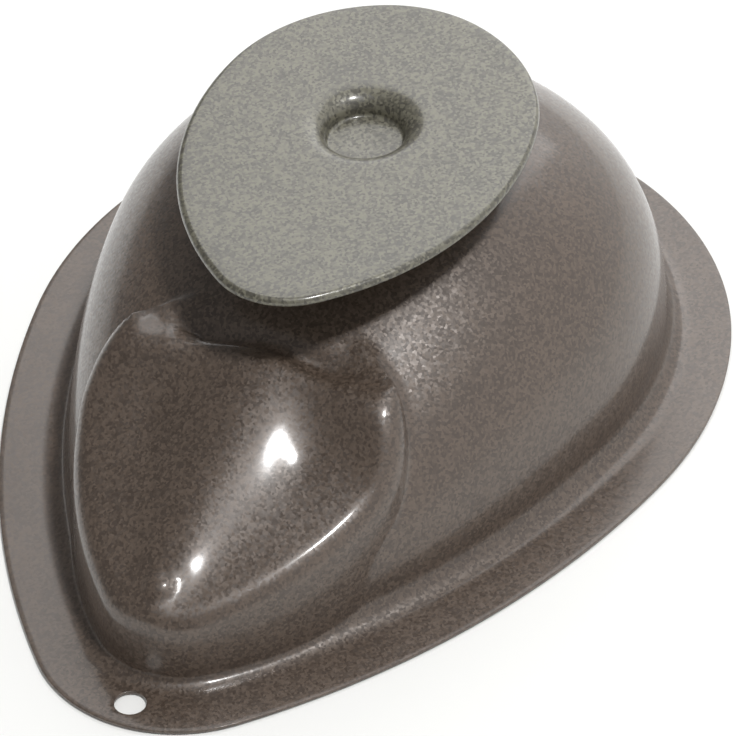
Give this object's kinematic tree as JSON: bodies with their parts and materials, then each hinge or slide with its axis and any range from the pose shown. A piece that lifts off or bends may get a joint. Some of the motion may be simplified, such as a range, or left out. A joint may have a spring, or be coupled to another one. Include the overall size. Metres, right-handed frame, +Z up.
{
  "type": "shaped cake pan",
  "caption": "Small mouse-shaped cake mould of coated sheet steel, with a flat rim, a hanging hole and a welded foot plate, shown upside down.",
  "frame": {"origin": "middle of the rim's length, on the mirror plane, at the rim's underside, which the upturned mould stands on", "axes": "+Z up from the rim to the foot plate, +X towards the mouse's nose and the hanging hole; in use the mould is turned over to stand on its foot plate"},
  "size_m": [0.16, 0.1168, 0.05],
  "materials": {
    "shell_coating": "semi-gloss metallic non-stick coating",
    "foot_coating": "semi-gloss metallic non-stick coating",
    "weld_steel": "fused steel"
  },
  "bodies": {
    "root": {"pan_shell": "shell_coating", "foot_plate": "foot_coating", "spot_weld": "weld_steel"}
  },
  "joints": []
}
